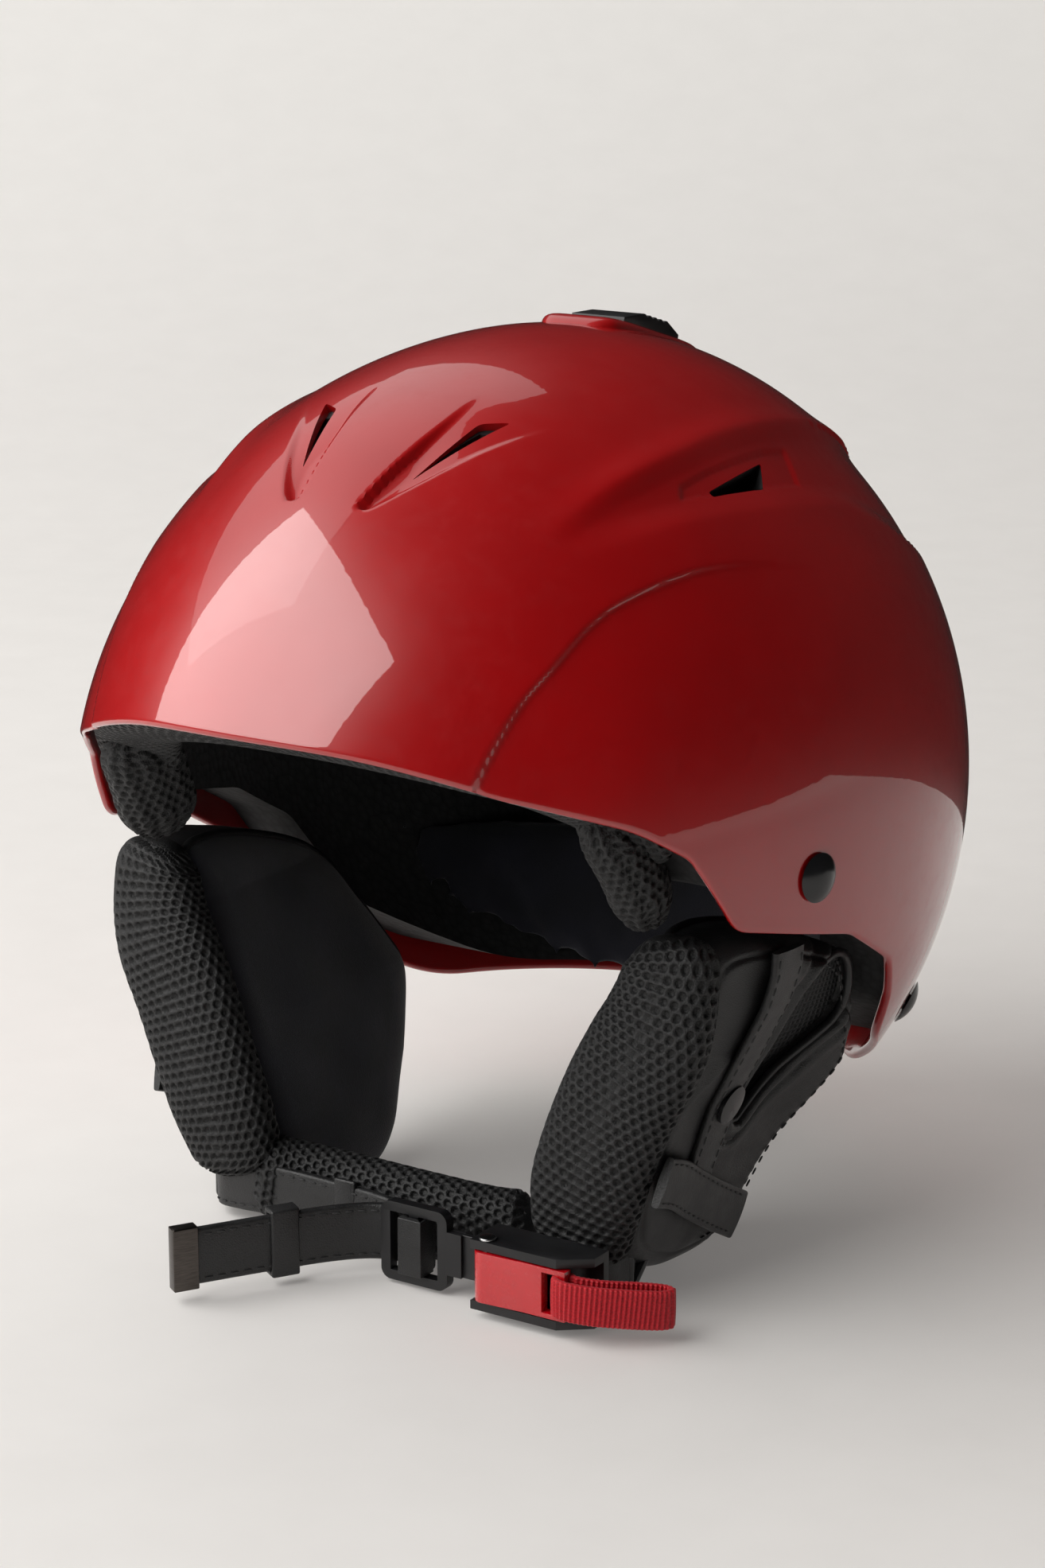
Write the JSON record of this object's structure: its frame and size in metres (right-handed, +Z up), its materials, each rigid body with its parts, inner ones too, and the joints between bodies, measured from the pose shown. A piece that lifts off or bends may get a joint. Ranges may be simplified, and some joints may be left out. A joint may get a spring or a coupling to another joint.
{
  "type": "ski helmet",
  "caption": "Hard-shell ski helmet with foam liner, crown vent slider, soft hinged ear pads, buckled chin strap with padded sleeve, and a goggle-strap clip at the back.",
  "frame": {"origin": "on the resting surface, where the upright axis of the wearer's head meets it, in the helmet's middle plane", "axes": "wearer faces -Y, wearer's left is +X, +Z up"},
  "size_m": [0.226, 0.2802, 0.2445],
  "materials": {
    "shell_gloss_red": "high gloss clear coat",
    "impact_foam": "moulded bead foam",
    "liner_fabric": "brushed velour",
    "spacer_mesh": "3-D spacer mesh with round holes",
    "rivet_black": "satin black",
    "washer_steel": "bright",
    "hardware_black": "satin moulded",
    "black_leather": "smooth grain, stitched",
    "lever_red": "gloss",
    "tab_webbing": "ribbed webbing",
    "grille_net": "fine net",
    "cap_gunmetal": "dark plated"
  },
  "bodies": {
    "shell": {"outer_shell": "shell_gloss_red", "foam_liner": "impact_foam", "crown_liner": "liner_fabric", "brow_pad": "spacer_mesh", "temple_pad_left": "spacer_mesh", "temple_pad_right": "spacer_mesh", "neck_pad": "liner_fabric", "front_strap_rivets": "rivet_black", "rear_strap_rivets": "rivet_black", "rivet_washers": "washer_steel", "clip_base": "hardware_black", "clip_pin": "washer_steel", "clip_stud": "washer_steel"},
    "vent_slider": {"slider_knob": "hardware_black", "shutter_plate": "hardware_black"},
    "goggle_clip": {"clip_flap": "black_leather", "clip_snap": "rivet_black"},
    "ear_pad_left": {"ear_cushion_left": "black_leather", "ear_lining_left": "liner_fabric", "ear_bolster_left": "spacer_mesh", "grille_ring_left": "hardware_black", "grille_mesh_left": "grille_net", "leather_band_left": "black_leather", "band_snap_left": "rivet_black", "band_keeper_left": "black_leather", "ring_eye_left": "black_leather"},
    "ear_pad_right": {"ear_cushion_right": "black_leather", "ear_lining_right": "liner_fabric", "ear_bolster_right": "spacer_mesh", "grille_ring_right": "hardware_black", "grille_mesh_right": "grille_net", "leather_band_right": "black_leather", "band_snap_right": "rivet_black", "band_keeper_right": "black_leather", "ring_eye_right": "black_leather"},
    "strap_left": {"strap_ring_left": "rivet_black", "left_strap": "black_leather", "buckle_base": "hardware_black", "buckle_pin": "washer_steel", "buckle_spring": "washer_steel"},
    "release_lever": {"release_lever": "lever_red", "release_pawl": "washer_steel"},
    "pull_tab": {"pull_tab": "tab_webbing"},
    "strap_right": {"strap_ring_right": "rivet_black", "right_strap": "black_leather", "chin_pad": "spacer_mesh", "pad_keeper": "black_leather"},
    "strap_adjuster": {"ratchet_comb": "hardware_black", "ladder_lock": "hardware_black", "lock_wrap": "black_leather", "tail_strap": "black_leather", "tail_keeper": "black_leather", "end_cap": "cap_gunmetal"}
  },
  "joints": [
    {"name": "vent_slide", "type": "slide", "parent": "shell", "child": "vent_slider", "axis": [0, 0.9613, -0.2756], "range_m": [0, 0.01]},
    {"name": "clip_hinge", "type": "hinge", "parent": "shell", "child": "goggle_clip", "pos_m": [0, 0.146, 0.096], "axis": [-1, 0, 0], "range_deg": [0, 100]},
    {"name": "ear_left_fold", "type": "hinge", "parent": "shell", "child": "ear_pad_left", "pos_m": [0.101, 0, 0.098], "axis": [0, -1, 0], "range_deg": [0, 20]},
    {"name": "ear_right_fold", "type": "hinge", "parent": "shell", "child": "ear_pad_right", "pos_m": [-0.101, 0, 0.098], "axis": [0, 1, 0], "range_deg": [0, 20]},
    {"name": "strap_left_swing", "type": "hinge", "parent": "ear_pad_left", "child": "strap_left", "pos_m": [0.066, -0.04625, 0.018], "axis": [0, 1, 0], "range_deg": [0, 20]},
    {"name": "strap_right_swing", "type": "hinge", "parent": "ear_pad_right", "child": "strap_right", "pos_m": [-0.066, -0.04625, 0.018], "axis": [0, -1, 0], "range_deg": [0, 20]},
    {"name": "lever_hinge", "type": "hinge", "parent": "strap_left", "child": "release_lever", "pos_m": [0.04, -0.078, 0.012], "axis": [0, 0, -1], "range_deg": [0, 35], "stiffness_Nm_per_rad": 0.03, "springref_deg": -11.46},
    {"name": "tab_swing", "type": "hinge", "parent": "release_lever", "child": "pull_tab", "pos_m": [0.0635, -0.0791, 0.012], "axis": [0, 0, -1], "range_deg": [-20, 40]},
    {"name": "strap_adjust", "type": "slide", "parent": "strap_right", "child": "strap_adjuster", "axis": [1, 0, 0], "range_m": [-0.01, 0.008]}
  ],
  "couplings": [
    {"joint": "ear_right_fold", "follows": "ear_left_fold", "ratio": 1},
    {"joint": "strap_left_swing", "follows": "ear_left_fold", "ratio": 1},
    {"joint": "strap_right_swing", "follows": "ear_left_fold", "ratio": 1}
  ]
}
